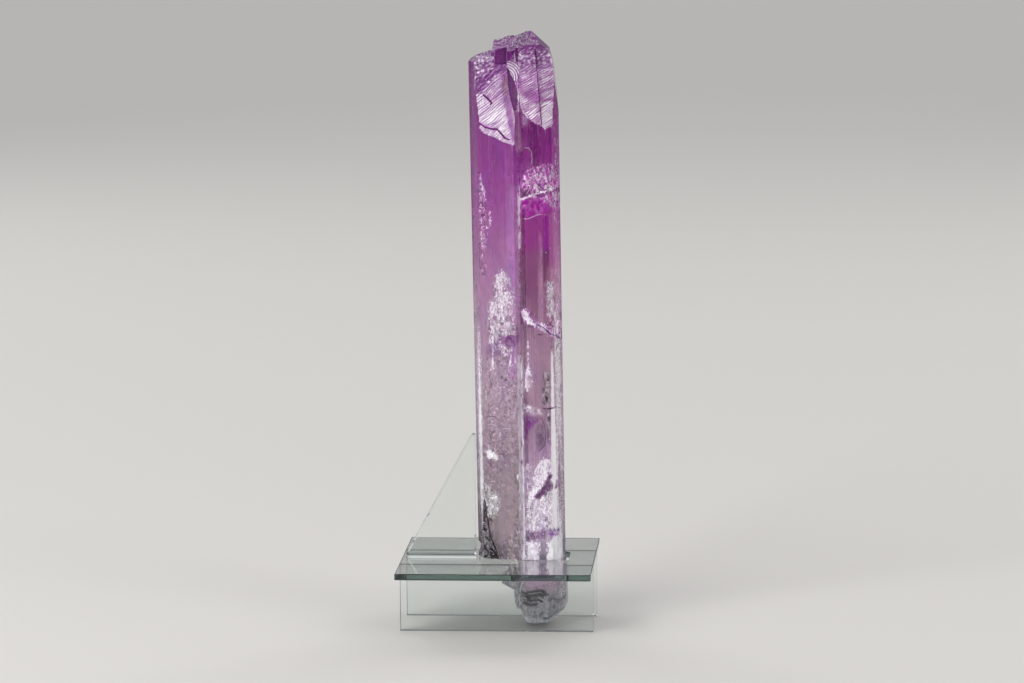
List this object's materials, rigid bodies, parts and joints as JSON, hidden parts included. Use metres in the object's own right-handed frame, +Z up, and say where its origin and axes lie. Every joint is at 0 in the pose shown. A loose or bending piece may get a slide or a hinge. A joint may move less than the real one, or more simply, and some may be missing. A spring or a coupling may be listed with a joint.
{
  "type": "kunzite crystal",
  "caption": "Tall lilac kunzite crystal with an etched top and a re-entrant groove, standing through a clear acrylic plate with cross walls and a triangular brace.",
  "frame": {"origin": "middle of the stand, on the surface that it rests on", "axes": "+Z up along the crystal, +X to the crystal's right, -Y towards the front"},
  "size_m": [0.092, 0.092, 0.2829],
  "materials": {
    "kunzite": "natural, glassy with etched areas",
    "clear_acrylic": "polished"
  },
  "bodies": {
    "root": {"kunzite_crystal": "kunzite", "base_plate": "clear_acrylic", "front_wall": "clear_acrylic", "rear_wall": "clear_acrylic", "brace": "clear_acrylic"}
  },
  "joints": []
}
